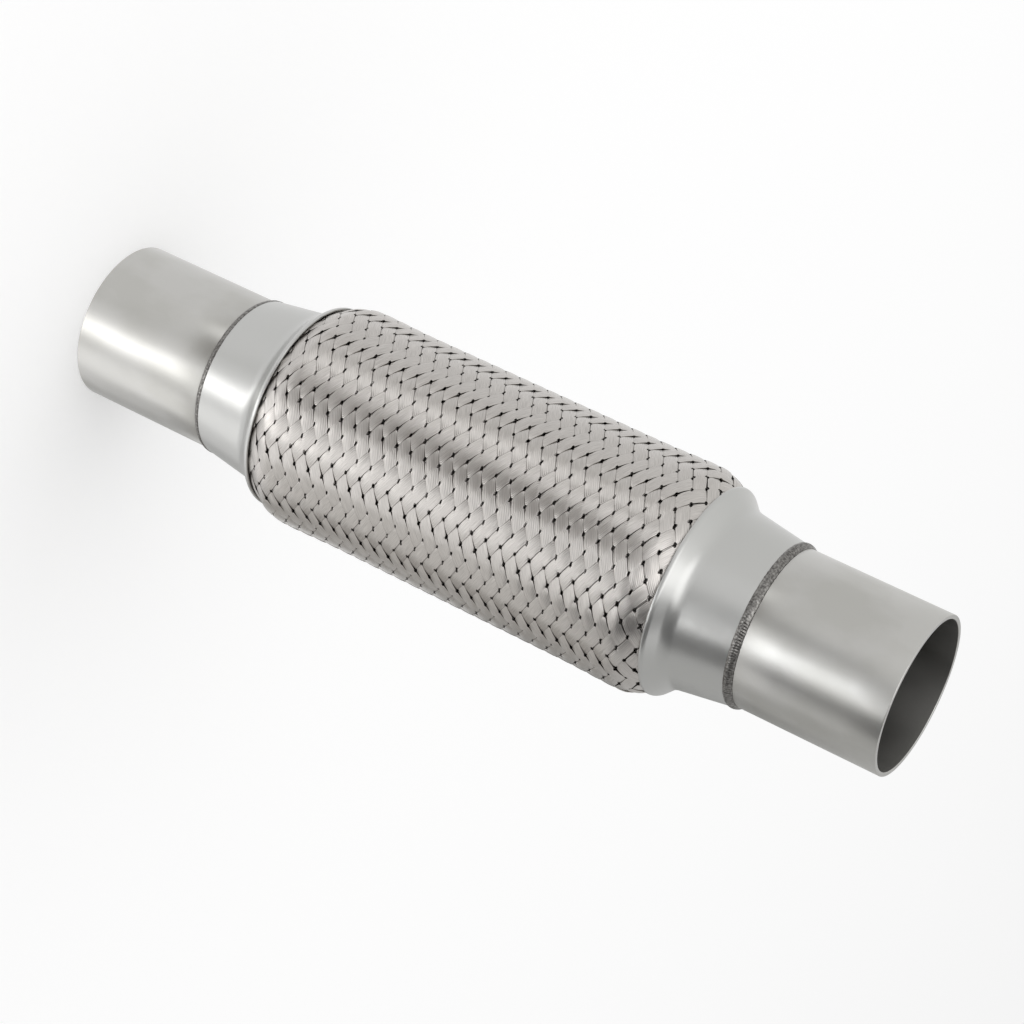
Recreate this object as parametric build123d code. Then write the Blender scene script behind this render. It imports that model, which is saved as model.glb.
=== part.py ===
from build123d import *

import os
from math import cos, pi, radians, sin, tan

# Exhaust flex pipe: a braided bellows pipe with a plain extension tube welded to each end.
# It stands on its inlet mouth. Z runs along the bore from the inlet mouth to the outlet mouth,
# and the origin is the centre of the inlet mouth. Sizes are in millimetres, angles in degrees.
# The tubes are true cylinders. The thin walls between them are drawn in flats round the bore: 24 in
# the woven, folded and inner walls, one for each strip of the braid, and twice as many in the rest.

# Whole pipe
OVERALL_LENGTH = 304.8
LAYER_CLEARANCE = 0.08

# Extension tubes, measured from the mouth to the weld
TUBE_DIAMETER = 54.0
TUBE_WALL = 1.5
TUBE_LENGTH = 50.8

# Seam weld between a tube and its end cap
WELD_WIDTH = 3.2
WELD_HEIGHT = 0.9
WELD_BEVEL = 0.5
WELD_FACETS = 3

# Stamped end cap, measured along the pipe from the weld
CAP_SHEET = 0.8
NECK_LENGTH = 21.2
NECK_TAPER = 8.6
SHOULDER_ANGLE = 46.0
FILLET_SHARE = 1.3
ROUND_SHARE = 0.45
ARC_FACETS = 2
RIM_INSET = 2.5
RIM_END = 27.0

# Outer braid: flat strips wound both ways, two over and two under
STRIP_COUNT = 24
STRIP_LEAD = 128.0
BRAID_DIAMETER = 76.2
SWELL_RISE = 0.55
RIM_TURN = 5.3
SWELL_START = 10.0
SWELL_LENGTH = 22.0
BRAID_THICKNESS = 1.2
CRUSHED_THICKNESS = 0.7
STRIP_CROWN = 0.6
CROWN_SHARE = 0.5
BRAID_TRIM = 9.0

# Bellows
BELLOWS_WALL = 0.4
CUFF_FLARE = 2.2
FOLD_PITCH = 12.0
FOLDS_START = 34.0

# Inner sleeve and the rings that back its ends
RING_WALL = 0.5
RING_LENGTH = 14.0
SLEEVE_WALL = 0.6
SLEEVE_TRIM = 8.0

# Flats round the bore, and the radius at their corners, which stand outside the flats
STRIP_FLATS = STRIP_COUNT
PRESSED_FLATS = 2 * STRIP_COUNT

# Radii worked out from the sizes above, at the corners where a wall is drawn in flats
MIDDLE = OVERALL_LENGTH / 2
TUBE_RADIUS = TUBE_DIAMETER / 2
BORE_RADIUS = TUBE_RADIUS - TUBE_WALL
WELD_FOOT = WELD_WIDTH / 2
RING_BORE = BORE_RADIUS / cos(pi / STRIP_FLATS)
RING_RADIUS = RING_BORE + RING_WALL
SLEEVE_BORE = RING_RADIUS + LAYER_CLEARANCE
CUFF_RADIUS = RING_RADIUS + LAYER_CLEARANCE + BELLOWS_WALL
NECK_RADIUS = CUFF_RADIUS + LAYER_CLEARANCE + CAP_SHEET
BRAID_RADIUS = BRAID_DIAMETER / 2
RIM_RADIUS = BRAID_RADIUS - RIM_INSET
ROOT_RADIUS = CUFF_RADIUS + CUFF_FLARE
CREST_RADIUS = BRAID_RADIUS - BRAID_THICKNESS - LAYER_CLEARANCE


def shifted(outline, distance):
    """The outline of (radius, height) points moved sideways, towards the axis where it climbs."""
    lines = []
    for (r0, z0), (r1, z1) in zip(outline, outline[1:]):
        run = ((r1 - r0) ** 2 + (z1 - z0) ** 2) ** 0.5
        across = ((z0 - z1) / run * distance, (r1 - r0) / run * distance)
        lines.append(((r0 + across[0], z0 + across[1]), (r1 + across[0], z1 + across[1])))
    points = [lines[0][0]]
    for (a, b), (c, d) in zip(lines, lines[1:]):
        turn = (b[0] - a[0]) * (d[1] - c[1]) - (b[1] - a[1]) * (d[0] - c[0])
        share = ((c[0] - a[0]) * (d[1] - c[1]) - (c[1] - a[1]) * (d[0] - c[0])) / turn
        points.append((a[0] + share * (b[0] - a[0]), a[1] + share * (b[1] - a[1])))
    return points + [lines[-1][1]]


def rounded(before, corner, after, radius, facets):
    """Points of an arc that replaces a corner of an outline."""
    start, middle, end = (Vector(r, z) for r, z in (before, corner, after))
    turn = (middle - start).get_angle(end - middle)
    reach = radius * tan(radians(turn / 2))
    first = middle + (start - middle).normalized() * reach
    last = middle + (end - middle).normalized() * reach
    inward = ((first + last) / 2 - middle).normalized()
    centre = middle + inward * (radius / cos(radians(turn / 2)))
    side = first - centre
    sense = 1 if side.X * (last - centre).Y - side.Y * (last - centre).X > 0 else -1
    points = []
    for step in range(facets + 1):
        spoke = side.rotate(Axis.Z, sense * turn * step / facets)
        points.append(((centre + spoke).X, (centre + spoke).Y))
    return points


def turned(outline):
    """A solid of revolution about the bore from a closed outline of (radius, height) points."""
    profile = make_face(Polyline([(r, 0, z) for r, z in outline], close=True))
    return revolve(profile, Axis.Z)


def corner(radius, height, spoke, flats=STRIP_FLATS):
    """A point at a corner between flats. A spoke may lie part of the way to the next corner."""
    angle = 2 * pi * (spoke % flats) / flats
    return Vector(radius * cos(angle), radius * sin(angle), height)


def facet(*corners):
    """A flat face through its corners."""
    return Face(Wire.make_polygon(corners, close=True))


def wall(outline, flats=STRIP_FLATS):
    """The flats round the bore of each stretch of an outline of (radius, height) points."""
    faces = []
    for (r0, z0), (r1, z1) in zip(outline, outline[1:]):
        for spoke in range(flats):
            low = [corner(r0, z0, spoke, flats), corner(r0, z0, spoke + 1, flats)]
            high = [corner(r1, z1, spoke + 1, flats), corner(r1, z1, spoke, flats)]
            faces.append(facet(*low, *high))
    return faces


def closed(faces):
    """A solid from the faces of its whole surface."""
    solid = Solid(Shell(faces))
    return solid if solid.volume > 0 else Solid(solid.wrapped.Reversed())


def folded(outline, flats=STRIP_FLATS):
    """A solid in flats from a closed outline of (radius, height) points."""
    return closed(wall(outline + outline[:1], flats))


def other_end(outline):
    """The outline at the opposite end of the pipe, still drawn upwards."""
    return [(r, OVERALL_LENGTH - z) for r, z in reversed(outline)]


def end_pair(shape, name):
    """Writes an inlet piece and the same piece at the outlet end."""
    write(shape, f"inlet_{name}")
    write(mirror(shape, Plane.XY.offset(MIDDLE)), f"outlet_{name}")


def write(shape, node):
    """Writes one named piece."""
    export_step(shape, f"parts/{node}.step")


def cap_outline():
    """The cap's outside with sharp corners: cone neck, shoulder and rim."""
    neck_end = NECK_RADIUS + NECK_LENGTH * tan(radians(NECK_TAPER))
    shoulder_run = (RIM_RADIUS - neck_end) / tan(radians(SHOULDER_ANGLE))
    return [
        (NECK_RADIUS, TUBE_LENGTH),
        (neck_end, TUBE_LENGTH + NECK_LENGTH),
        (RIM_RADIUS, TUBE_LENGTH + NECK_LENGTH + shoulder_run),
        (RIM_RADIUS, TUBE_LENGTH + RIM_END),
    ]


def cuff_outline():
    """The bellows' cuff, on its outside, from the weld to the end of the cap's neck."""
    return [(CUFF_RADIUS, TUBE_LENGTH), (ROOT_RADIUS, TUBE_LENGTH + NECK_LENGTH)]


def radius_on(outline, height):
    """The radius of the first stretch of an outline at a height."""
    (r0, z0), (r1, z1) = outline[:2]
    return r0 + (r1 - r0) * (height - z0) / (z1 - z0)


def extension_tube():
    """A plain tube whose outer end is the pipe's mouth and whose inner end is bevelled for the weld."""
    bevel = [(TUBE_RADIUS, TUBE_LENGTH - WELD_FOOT), (TUBE_RADIUS - WELD_BEVEL, TUBE_LENGTH)]
    return turned([(BORE_RADIUS, 0), (TUBE_RADIUS, 0)] + bevel + [(BORE_RADIUS, TUBE_LENGTH)])


def weld_bead():
    """A crowned bead that fills the tube's bevel, with its other foot on the cap's cone."""
    on_tube = TUBE_RADIUS / cos(pi / PRESSED_FLATS)
    root = (TUBE_RADIUS - WELD_BEVEL) / cos(pi / PRESSED_FLATS)
    start = TUBE_LENGTH - WELD_FOOT
    cap_foot = (radius_on(cap_outline(), TUBE_LENGTH + WELD_FOOT), TUBE_LENGTH + WELD_FOOT)
    crown = []
    for step in range(1, WELD_FACETS):
        share = step / WELD_FACETS
        base = on_tube + (cap_foot[0] - on_tube) * share
        crown.append((base + WELD_HEIGHT * sin(pi * share), start + WELD_WIDTH * share))
    seat = [cap_foot, (NECK_RADIUS, TUBE_LENGTH), (root, TUBE_LENGTH)]
    return folded([(on_tube, start)] + crown + seat, PRESSED_FLATS)


def end_cap():
    """One stamping: cone neck, swept into a rounded shoulder whose edge is a narrow rim."""
    outside = cap_outline()
    inside = shifted(outside, CAP_SHEET)
    inside[0] = (NECK_RADIUS - CAP_SHEET, TUBE_LENGTH)
    shoulder = outside[2][0] - outside[1][0]
    fillet_points = rounded(*outside[:3], FILLET_SHARE * shoulder, ARC_FACETS)
    round_points = rounded(*outside[1:], ROUND_SHARE * shoulder, ARC_FACETS)
    return folded([outside[0]] + fillet_points + round_points + [outside[3]] + inside[::-1], PRESSED_FLATS)


def inner_ring():
    """A short plain ring in line with the tube's bore."""
    top = TUBE_LENGTH + RING_LENGTH
    return folded([(RING_BORE, TUBE_LENGTH), (RING_RADIUS, TUBE_LENGTH), (RING_RADIUS, top), (RING_BORE, top)])


def inner_braid():
    """The mesh sleeve that lines the bellows, lapped over both rings."""
    end = [(SLEEVE_BORE, TUBE_LENGTH + SLEEVE_TRIM), (SLEEVE_BORE + SLEEVE_WALL, TUBE_LENGTH + SLEEVE_TRIM)]
    return folded(end + other_end(end))


def bellows():
    """Thin folded tube: a cone cuff in each neck and a run of sharp folds between them."""
    start = TUBE_LENGTH + FOLDS_START
    span = OVERALL_LENGTH - 2 * start
    folds = round(span / FOLD_PITCH)
    pitch = span / folds
    slope_wall = BELLOWS_WALL * (1 + ((CREST_RADIUS - ROOT_RADIUS) / (pitch / 2)) ** 2) ** 0.5
    middle = []
    for fold in range(folds):
        middle.append((ROOT_RADIUS, start + fold * pitch))
        middle.append((CREST_RADIUS, start + (fold + 0.5) * pitch))
    middle.append((ROOT_RADIUS, start + span))
    outside = cuff_outline() + middle + other_end(cuff_outline())
    inside = [(r - BELLOWS_WALL, z) for r, z in cuff_outline()]
    inside += [(ROOT_RADIUS - BELLOWS_WALL, start)]
    inside += [(r - slope_wall, z) for r, z in middle[1:-1]]
    inside += [(ROOT_RADIUS - BELLOWS_WALL, start + span)]
    inside += [(r - BELLOWS_WALL, z) for r, z in other_end(cuff_outline())]
    return folded(outside + inside[::-1])


def braid_radius(height):
    """The braid's outside: held in by the rims, slightly swollen beside them, even in between."""
    under_rim = RIM_RADIUS - CAP_SHEET - LAYER_CLEARANCE
    swell = BRAID_RADIUS + SWELL_RISE
    out = min(height, OVERALL_LENGTH - height) - TUBE_LENGTH - RIM_END
    if out <= 0:
        return under_rim
    if out <= SWELL_START:
        return under_rim + (swell - under_rim) * sin(pi / 2 * out / SWELL_START)
    return BRAID_RADIUS + SWELL_RISE * (1 + cos(pi * min(1, (out - SWELL_START) / SWELL_LENGTH))) / 2


def between(left, right):
    """Facets that fill the space between two chains of points drawn upwards."""
    faces = []
    while len(left) > 1 or len(right) > 1:
        climb_left = len(right) == 1 or (len(left) > 1 and left[1].Z <= right[1].Z)
        if climb_left:
            faces.append(facet(left[0], right[0], left[1]))
            left = left[1:]
        else:
            faces.append(facet(left[0], right[0], right[1]))
            right = right[1:]
    return faces


def strip_on_top(edge_low, edge_high, crown):
    """The hipped top of a strip where it lies over two others: two long flanks and four end facets."""
    near, far = crown
    faces = []
    for foot, head in ((edge_low[0], edge_high[0]), (edge_low[2], edge_high[2])):
        faces += [facet(foot, head, far), facet(foot, far, near)]
    for side, tip in ((edge_low, near), (edge_high, far)):
        faces += [facet(side[0], side[1], tip), facet(side[1], side[2], tip)]
    return faces


def woven_face(base, rows, pitch):
    """Bands of hipped strips that lean left and right in turn, as the strips that lie on top do.

    A strip climbs one pitch across its band, and the next band's strips meet it half a pitch off.
    """
    last = 2 * rows

    def edge(spoke, first, end):
        heights = [base + half * pitch / 2 for half in range(first, end + 1)]
        return [corner(braid_radius(z) - STRIP_CROWN * (base < z < base + rows * pitch), z, spoke) for z in heights]

    faces = []
    for band in range(STRIP_COUNT):
        lean = band % 2
        foot, head = band + lean, band + 1 - lean
        faces += between(edge(foot, 0, lean), edge(head, 0, lean + 2))
        half = lean
        while half + 4 <= last:
            middle = base + (half + 2) * pitch / 2
            reach = CROWN_SHARE / 2
            crown = []
            for share in (-reach, reach):
                height = middle + share * pitch
                crown.append(corner(braid_radius(height), height, (foot + head) / 2 + share * (head - foot)))
            faces += strip_on_top(edge(foot, half, half + 2), edge(head, half + 2, half + 4), crown)
            half += 2
        faces += between(edge(foot, half, last), edge(head, half + 2, last))
    return faces


def outer_braid():
    """One wall: a woven face between the rims, and a plain skirt crushed in each neck."""
    rim = TUBE_LENGTH + RIM_END
    base = rim + RIM_TURN
    span = OVERALL_LENGTH - 2 * base
    rows = round(span / (STRIP_LEAD / STRIP_COUNT))
    trim = TUBE_LENGTH + BRAID_TRIM
    skirt_out = shifted(cap_outline(), CAP_SHEET + LAYER_CLEARANCE)
    skirt_in = shifted(cap_outline(), CAP_SHEET + LAYER_CLEARANCE + CRUSHED_THICKNESS)
    outside = [(radius_on(skirt_out, trim), trim), skirt_out[1], skirt_out[2]]
    outside += [(braid_radius(height), height) for height in (rim, base)]
    inside = [
        (radius_on(cuff_outline(), trim) + LAYER_CLEARANCE, trim),
        skirt_in[1],
        skirt_in[2],
        (braid_radius(rim) - BRAID_THICKNESS, rim),
    ]
    for step in (SWELL_START / 2, SWELL_START, SWELL_START + SWELL_LENGTH):
        height = rim + step
        inside.append((braid_radius(height) - BRAID_THICKNESS, height))
    lining = inside + other_end(inside)
    faces = woven_face(base, rows, span / rows)
    faces += wall(outside[::-1] + lining + other_end(outside)[::-1])
    return closed(faces)


os.makedirs("parts", exist_ok=True)
end_pair(extension_tube(), "tube")
end_pair(weld_bead(), "weld")
end_pair(end_cap(), "end_cap")
end_pair(inner_ring(), "inner_ring")
write(inner_braid(), "inner_braid")
write(bellows(), "bellows")
write(outer_braid(), "outer_braid")
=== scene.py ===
import math
import random
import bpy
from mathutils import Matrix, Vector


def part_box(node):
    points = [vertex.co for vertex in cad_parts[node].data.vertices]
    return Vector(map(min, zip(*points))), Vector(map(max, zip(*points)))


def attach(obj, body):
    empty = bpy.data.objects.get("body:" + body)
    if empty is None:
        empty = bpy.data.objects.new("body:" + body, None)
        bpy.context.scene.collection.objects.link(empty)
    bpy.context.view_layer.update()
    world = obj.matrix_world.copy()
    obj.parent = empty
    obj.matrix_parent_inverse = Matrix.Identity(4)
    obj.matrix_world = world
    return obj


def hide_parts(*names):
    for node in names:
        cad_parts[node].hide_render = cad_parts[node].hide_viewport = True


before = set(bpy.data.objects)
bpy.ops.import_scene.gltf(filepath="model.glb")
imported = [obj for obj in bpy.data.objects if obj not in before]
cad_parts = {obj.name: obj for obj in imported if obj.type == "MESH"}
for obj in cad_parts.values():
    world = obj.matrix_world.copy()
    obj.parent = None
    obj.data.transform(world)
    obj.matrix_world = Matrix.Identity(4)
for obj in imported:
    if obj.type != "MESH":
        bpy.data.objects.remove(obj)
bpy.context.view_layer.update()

from types import SimpleNamespace

import bpy
import numpy as np
from mathutils import Matrix, Vector

bl_info = {
    "name": "Exhaust flex pipe",
    "version": (1, 0, 0),
    "blender": (4, 5, 0),
    "location": "3D View > Sidebar > Flex pipe",
    "description": "Builds the visible pieces of a braided exhaust flex pipe round its CAD frame",
    "category": "Object",
}

# The pipe stands on its inlet mouth with its bore along Z. Sizes in this file are in millimetres, like
# the drawing's, and MM turns them into Blender's metres.
MM = 0.001


def cad_radius(node):
    """Largest radius of a CAD node, in millimetres."""
    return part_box(node)[1][0] / MM


def cad_span(node):
    """Lowest and highest height of a CAD node, in millimetres."""
    low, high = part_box(node)
    return low[2] / MM, high[2] / MM


# Sizes that the CAD frame gives
TUBE_OUTSIDE = cad_radius("inlet_tube")
TUBE_END = cad_span("inlet_tube")[1]
PIPE_LENGTH = cad_span("outlet_tube")[1]
MIDDLE = PIPE_LENGTH / 2
RIM_OUTSIDE = cad_radius("inlet_end_cap")
RIM_END = cad_span("inlet_end_cap")[1]
BRAID_START = cad_span("outer_braid")[0]

# Gap between the pressed layers of the pipe
LAYER_CLEARANCE = 0.08

# Colours as sRGB hex
TUBE_COLOUR = "#BDBCB9"
SMEAR_COLOUR = "#B6B5B1"
# The bore's colour is darker than the tube's: painted shade for the dim inside of the tube
SHADED_BORE_COLOUR = "#7C7B78"
CAP_COLOUR = "#BCBCBA"
WELD_COLOUR = "#92908D"
SCALE_COLOUR = "#5A5856"
BRAID_COLOUR = "#C9C5C1"
# Painted shade along the edges of the braid's strips, where they meet
EDGE_SHADE_COLOUR = "#5E5954"
HIDDEN_COLOUR = "#C9C6C2"
FLOOR_COLOUR = "#F4F4F4"


def srgb(hex_colour):
    """Linear red, green and blue of an sRGB hex colour."""
    channels = []
    for start in (1, 3, 5):
        value = int(hex_colour[start:start + 2], 16) / 255
        channels.append(value / 12.92 if value <= 0.04045 else ((value + 0.055) / 1.055) ** 2.4)
    return tuple(channels)


# Settings

def length(name, description, default):
    """A length that the panel shows in the scene's unit. Its default is in millimetres."""
    return bpy.props.FloatProperty(
        name=name, description=description, default=default * MM, min=0.0, precision=5, unit="LENGTH"
    )


def slope(name, description, default):
    """An angle that the panel shows. Its default is in degrees."""
    return bpy.props.FloatProperty(
        name=name, description=description, default=math.radians(default), subtype="ANGLE"
    )


def share(name, description, default):
    """A share of something, from nought to one."""
    return bpy.props.FloatProperty(
        name=name, description=description, default=default, min=0.0, max=1.0, subtype="FACTOR"
    )


def colour(name, description, default):
    """A colour that the panel shows. Its default is sRGB hex."""
    return bpy.props.FloatVectorProperty(
        name=name, description=description, default=srgb(default), subtype="COLOR", size=3, min=0.0, max=1.0
    )


class TubeSettings(bpy.types.PropertyGroup):
    """Extension tubes."""

    radius: length("Outside radius", "Outside radius of both tubes", TUBE_OUTSIDE)
    wall: length("Wall", "Thickness of the tubes' wall", 1.5)
    end: length("Length", "Length of a tube from its mouth to the weld", TUBE_END)
    lip: length("Lip rounding", "Rounding of the sawn and deburred mouth", 0.25)
    bevel: length("Bevel", "Depth of the bevel under the weld", 0.5)
    bevel_length: length("Bevel length", "Length of the bevel under the weld", 1.6)
    finish: colour("Colour", "Colour of the drawn stainless tube", TUBE_COLOUR)
    smear: colour("Smear colour", "Colour of the faint smears on the tube", SMEAR_COLOUR)
    # The bore's darker colour is painted shade
    bore: colour("Shaded bore colour", "Colour of the tube's dull inside", SHADED_BORE_COLOUR)


class CapSettings(bpy.types.PropertyGroup):
    """Stamped end caps."""

    neck_radius: length("Neck radius", "Outside radius of the neck at the weld", 27.58)
    neck_length: length("Neck length", "Length of the cone neck", 21.2)
    neck_taper: slope("Neck taper", "Slope of the neck", 8.6)
    shoulder: slope("Shoulder angle", "Slope of the shoulder", 46.0)
    fillet: length("Fillet", "Rounding where the neck meets the shoulder", 8.0)
    rounding: length("Rounding", "Rounding where the shoulder meets the rim", 2.1)
    rim_radius: length("Rim radius", "Outside radius of the rim", RIM_OUTSIDE)
    rim_end: length("Rim end", "Height of the rim's edge above the mouth", RIM_END)
    sheet: length("Sheet", "Thickness of the sheet", 0.8)
    edge: length("Edge rounding", "Rounding of the sheet's cut edge", 0.25)
    finish: colour("Colour", "Colour of the stamped stainless sheet", CAP_COLOUR)


class WeldSettings(bpy.types.PropertyGroup):
    """Seam welds."""

    width: length("Width", "Width of the outlet bead", 3.2)
    height: length("Height", "Height of the bead over the tube", 0.75)
    inlet_share: share("Inlet share", "Size of the inlet bead as a share of the outlet bead", 0.6)
    ripple: length("Ripple pitch", "Distance from one solidified ripple to the next", 0.9)
    depth: length("Ripple depth", "Depth of a ripple", 0.16)
    finish: colour("Colour", "Colour of the weld metal", WELD_COLOUR)
    scale: colour("Scale colour", "Colour of the oxide scale in the weld's hollows", SCALE_COLOUR)


class BraidSettings(bpy.types.PropertyGroup):
    """Outer braid."""

    strips: bpy.props.IntProperty(name="Strips", description="Strips wound each way", default=24, min=4)
    wires: bpy.props.IntProperty(name="Wires", description="Wires side by side in a strip", default=8, min=1)
    lead: length("Lead", "Length of pipe in which a strip goes round once", 128.0)
    even: length("Even radius", "Outside radius of the braid at mid length", 38.1)
    swell: length("Swollen radius", "Outside radius where the braid swells beside the caps", 38.55)
    swell_start: length("Swell start", "Distance from the rim to the widest place", 10.0)
    swell_length: length("Swell length", "Length over which the swelling fades", 22.0)
    thickness: length("Strip thickness", "Thickness of a strip", 0.34)
    lift: length("Lift", "Height that a strip climbs or dives at a crossing", 0.38)
    pressed_lift: length("Pressed lift", "The same height where a cap presses the strips flat", 0.17)
    pressing: length("Pressing length", "Length under the rim over which the strips are pressed flat", 1.5)
    wire_relief: length("Wire relief", "Height of a wire's back over the grooves beside it", 0.04)
    crown: length("Crown", "Height of a strip's middle over its edges", 0.11)
    skin: length("Skin", "Depth at which the highest strips stay within the CAD wall", 0.02)
    cover: share("Cover", "Strip width as a share of its pitch", 0.98)
    pinch: share("Pinch", "Share of its width that a strip loses at the holes between the crossings", 0.22)
    loosened: share(
        "Loosened", "Share of its width that a strip loses beside the outlet rim, where it is loose", 0.12
    )
    loose_length: length("Loose length", "Length of braid that is pulled open beside the outlet rim", 9.0)
    shift: length("Shift", "Distance of the weave's middle from the pipe's middle", 1.2)
    tuck: length("Tuck", "Length of braid drawn in full under a rim", 2.5)
    finish: colour("Colour", "Colour of the stainless wire", BRAID_COLOUR)
    gap: colour("Painted edge shade", "Colour of the shaded edges of the strips", EDGE_SHADE_COLOUR)


class HiddenSettings(bpy.types.PropertyGroup):
    """Bellows, inner sleeve and rings."""

    finish: colour("Colour", "Colour of the hidden sheet and wire", HIDDEN_COLOUR)


class StageSettings(bpy.types.PropertyGroup):
    """Floor, light and camera."""

    focal: bpy.props.FloatProperty(
        name="Focal length", description="Focal length", default=102.53, subtype="DISTANCE_CAMERA"
    )
    floor_size: length("Floor size", "Side of the square floor", 14000.0)
    floor: colour("Floor", "Colour of the floor", FLOOR_COLOUR)
    floor_lift: share("Floor lift", "Light that the floor adds to what the camera sees of it", 0.16)
    room: share("Room light", "Strength of the even room light", 0.78)
    lamp_size: length("Lamp size", "Side of the square overhead lamp", 2500.0)
    lamp_power: bpy.props.FloatProperty(
        name="Lamp power", description="Power of the overhead lamp", default=14.0, unit="POWER"
    )


SETTINGS = {
    "flex_tubes": TubeSettings,
    "flex_caps": CapSettings,
    "flex_welds": WeldSettings,
    "flex_braid": BraidSettings,
    "flex_hidden": HiddenSettings,
    "flex_stage": StageSettings,
}


def in_millimetres(group):
    """The settings of a group as plain values, with its lengths in millimetres."""
    values = {}
    for key in group.__annotations__:
        is_length = group.bl_rna.properties[key].unit == "LENGTH"
        values[key] = getattr(group, key) / MM if is_length else getattr(group, key)
    return SimpleNamespace(**values)


# Node and mesh helpers

def add_node(tree, kind, inputs=None, **settings):
    """Adds a node, sets its settings, and sets or links its inputs."""
    node = tree.nodes.new(kind)
    for key, value in settings.items():
        setattr(node, key, value)
    for key, value in (inputs or {}).items():
        if isinstance(value, bpy.types.NodeSocket):
            tree.links.new(value, node.inputs[key])
        else:
            node.inputs[key].default_value = value
    return node


def set_stops(ramp, *stops):
    """Sets the two stops of a colour ramp from pairs of a place and a colour."""
    for stop, (place, rgb) in zip(ramp.color_ramp.elements, stops):
        stop.position = place
        stop.color = (*rgb, 1.0)


def new_material(name):
    """An empty node material and its tree."""
    material = bpy.data.materials.new(name)
    material.use_nodes = True
    material.node_tree.nodes.clear()
    return material, material.node_tree


def finish_material(tree, surface):
    """Links a shader to the material's output."""
    add_node(tree, "ShaderNodeOutputMaterial", {"Surface": surface.outputs[0]})


def grain(tree, *sizes):
    """Object coordinates that count one for each grain of the given size in millimetres on each axis."""
    place = add_node(tree, "ShaderNodeTexCoord").outputs["Object"]
    scale = tuple(1 / (size * MM) for size in sizes)
    return add_node(tree, "ShaderNodeMapping", {"Vector": place, "Scale": scale}).outputs[0]


def make_piece(name, points, faces, material, smooth=True, sharp=None, uv=None):
    """A mesh object from points in millimetres. Edges over the sharp angle, in degrees, stay crisp."""
    mesh = bpy.data.meshes.new(name)
    mesh.from_pydata([tuple(point) for point in (np.asarray(points) * MM).tolist()], [], faces)
    mesh.polygons.foreach_set("use_smooth", [smooth] * len(mesh.polygons))
    if sharp is not None:
        mesh.set_sharp_from_angle(angle=math.radians(sharp))
    if uv is not None:
        layer = mesh.uv_layers.new(name="strip")
        corners = np.empty(len(mesh.loops), dtype=np.int32)
        mesh.loops.foreach_get("vertex_index", corners)
        layer.data.foreach_set("uv", np.asarray(uv)[corners].ravel())
    mesh.materials.append(material)
    mesh.update()
    piece = bpy.data.objects.new(name, mesh)
    bpy.context.scene.collection.objects.link(piece)
    return piece


def part_piece(piece, node):
    """Puts a piece in the place of a CAD node."""
    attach(piece, "root")
    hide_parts(node)


def ring_faces(rings, count, closed):
    """Quads between rings of points that follow one another, each ring closed and of count points."""
    faces = []
    for ring in range(rings if closed else rings - 1):
        ahead = (ring + 1) % rings
        for index in range(count):
            after = (index + 1) % count
            faces.append(
                (ring * count + index, ahead * count + index, ahead * count + after, ring * count + after)
            )
    return faces


def turned(outline, steps):
    """Points and faces of a closed outline of (radius, height) turned round the bore.

    The outline runs anticlockwise with the radius to the right and the height upwards.
    """
    points = []
    for angle in np.arange(steps) * 2 * math.pi / steps:
        for radius, height in outline:
            points.append((radius * math.cos(angle), radius * math.sin(angle), height))
    return points, ring_faces(steps, len(outline), closed=True)


def arc(centre, radius, start, end, steps):
    """Points of an arc in an outline, with its angles in degrees."""
    points = []
    for step in range(steps + 1):
        angle = math.radians(start + (end - start) * step / steps)
        points.append((centre[0] + radius * math.cos(angle), centre[1] + radius * math.sin(angle)))
    return points


def rounded_corner(before, corner, after, radius, steps):
    """Points of an arc that replaces a corner of an outline."""
    corner = Vector(corner)
    first = (Vector(before) - corner).normalized()
    last = (Vector(after) - corner).normalized()
    half = first.angle(last) / 2
    centre = corner + (first + last).normalized() * radius / math.sin(half)
    start = corner + first * radius / math.tan(half) - centre
    turn = math.pi - 2 * half
    if start.x * (-first.y) - start.y * (-first.x) < 0:
        turn = -turn
    points = []
    for step in range(steps + 1):
        spoke = start.copy()
        spoke.rotate(Matrix.Rotation(turn * step / steps, 2))
        points.append(tuple(centre + spoke))
    return points


def moved_in(outline, distance):
    """An outline that climbs, moved sideways towards the bore, with its corners mitred."""
    normals = []
    for start, end in zip(outline, outline[1:]):
        run = (Vector(end) - Vector(start)).normalized()
        normals.append(Vector((-run.y, run.x)))
    points = [Vector(outline[0]) + normals[0] * distance]
    for corner, before, after in zip(outline[1:], normals, normals[1:]):
        points.append(Vector(corner) + (before + after) * distance / (1 + before.dot(after)))
    points.append(Vector(outline[-1]) + normals[-1] * distance)
    return [tuple(point) for point in points]


def other_end(outline):
    """The outline at the outlet end, still anticlockwise."""
    return [(radius, PIPE_LENGTH - height) for radius, height in reversed(outline)]


def both_ends(outline, steps, name, materials, sharp=None, bore=None):
    """One turned piece at the inlet end and its twin at the outlet end.

    Faces within the bore radius take the second material.
    """
    for end, shape in (("inlet", outline), ("outlet", other_end(outline))):
        points, faces = turned(shape, steps)
        piece = make_piece(f"{end}_{name}_skin", points, faces, materials[0], sharp=sharp)
        if bore:
            piece.data.materials.append(materials[1])
            for face in piece.data.polygons:
                face.material_index = int(math.hypot(face.center.x, face.center.y) < (bore + 0.02) * MM)
        part_piece(piece, f"{end}_{name}")


# Materials

# Numbers of the Mix node's colour sockets, because its sockets share their names
MIX_FIRST, MIX_SECOND, MIX_RESULT = 6, 7, 2

# The braid's strip coordinates, in millimetres: half the width of a strip, the width of the painted shade
# along its edges, the streaks in a millimetre across the wires and the length of a streak
STRIP_HALF = 2.2
SHADED_EDGE = 0.12
STREAKS_ACROSS = 9.0
STREAK_LENGTH = 5.0


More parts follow.
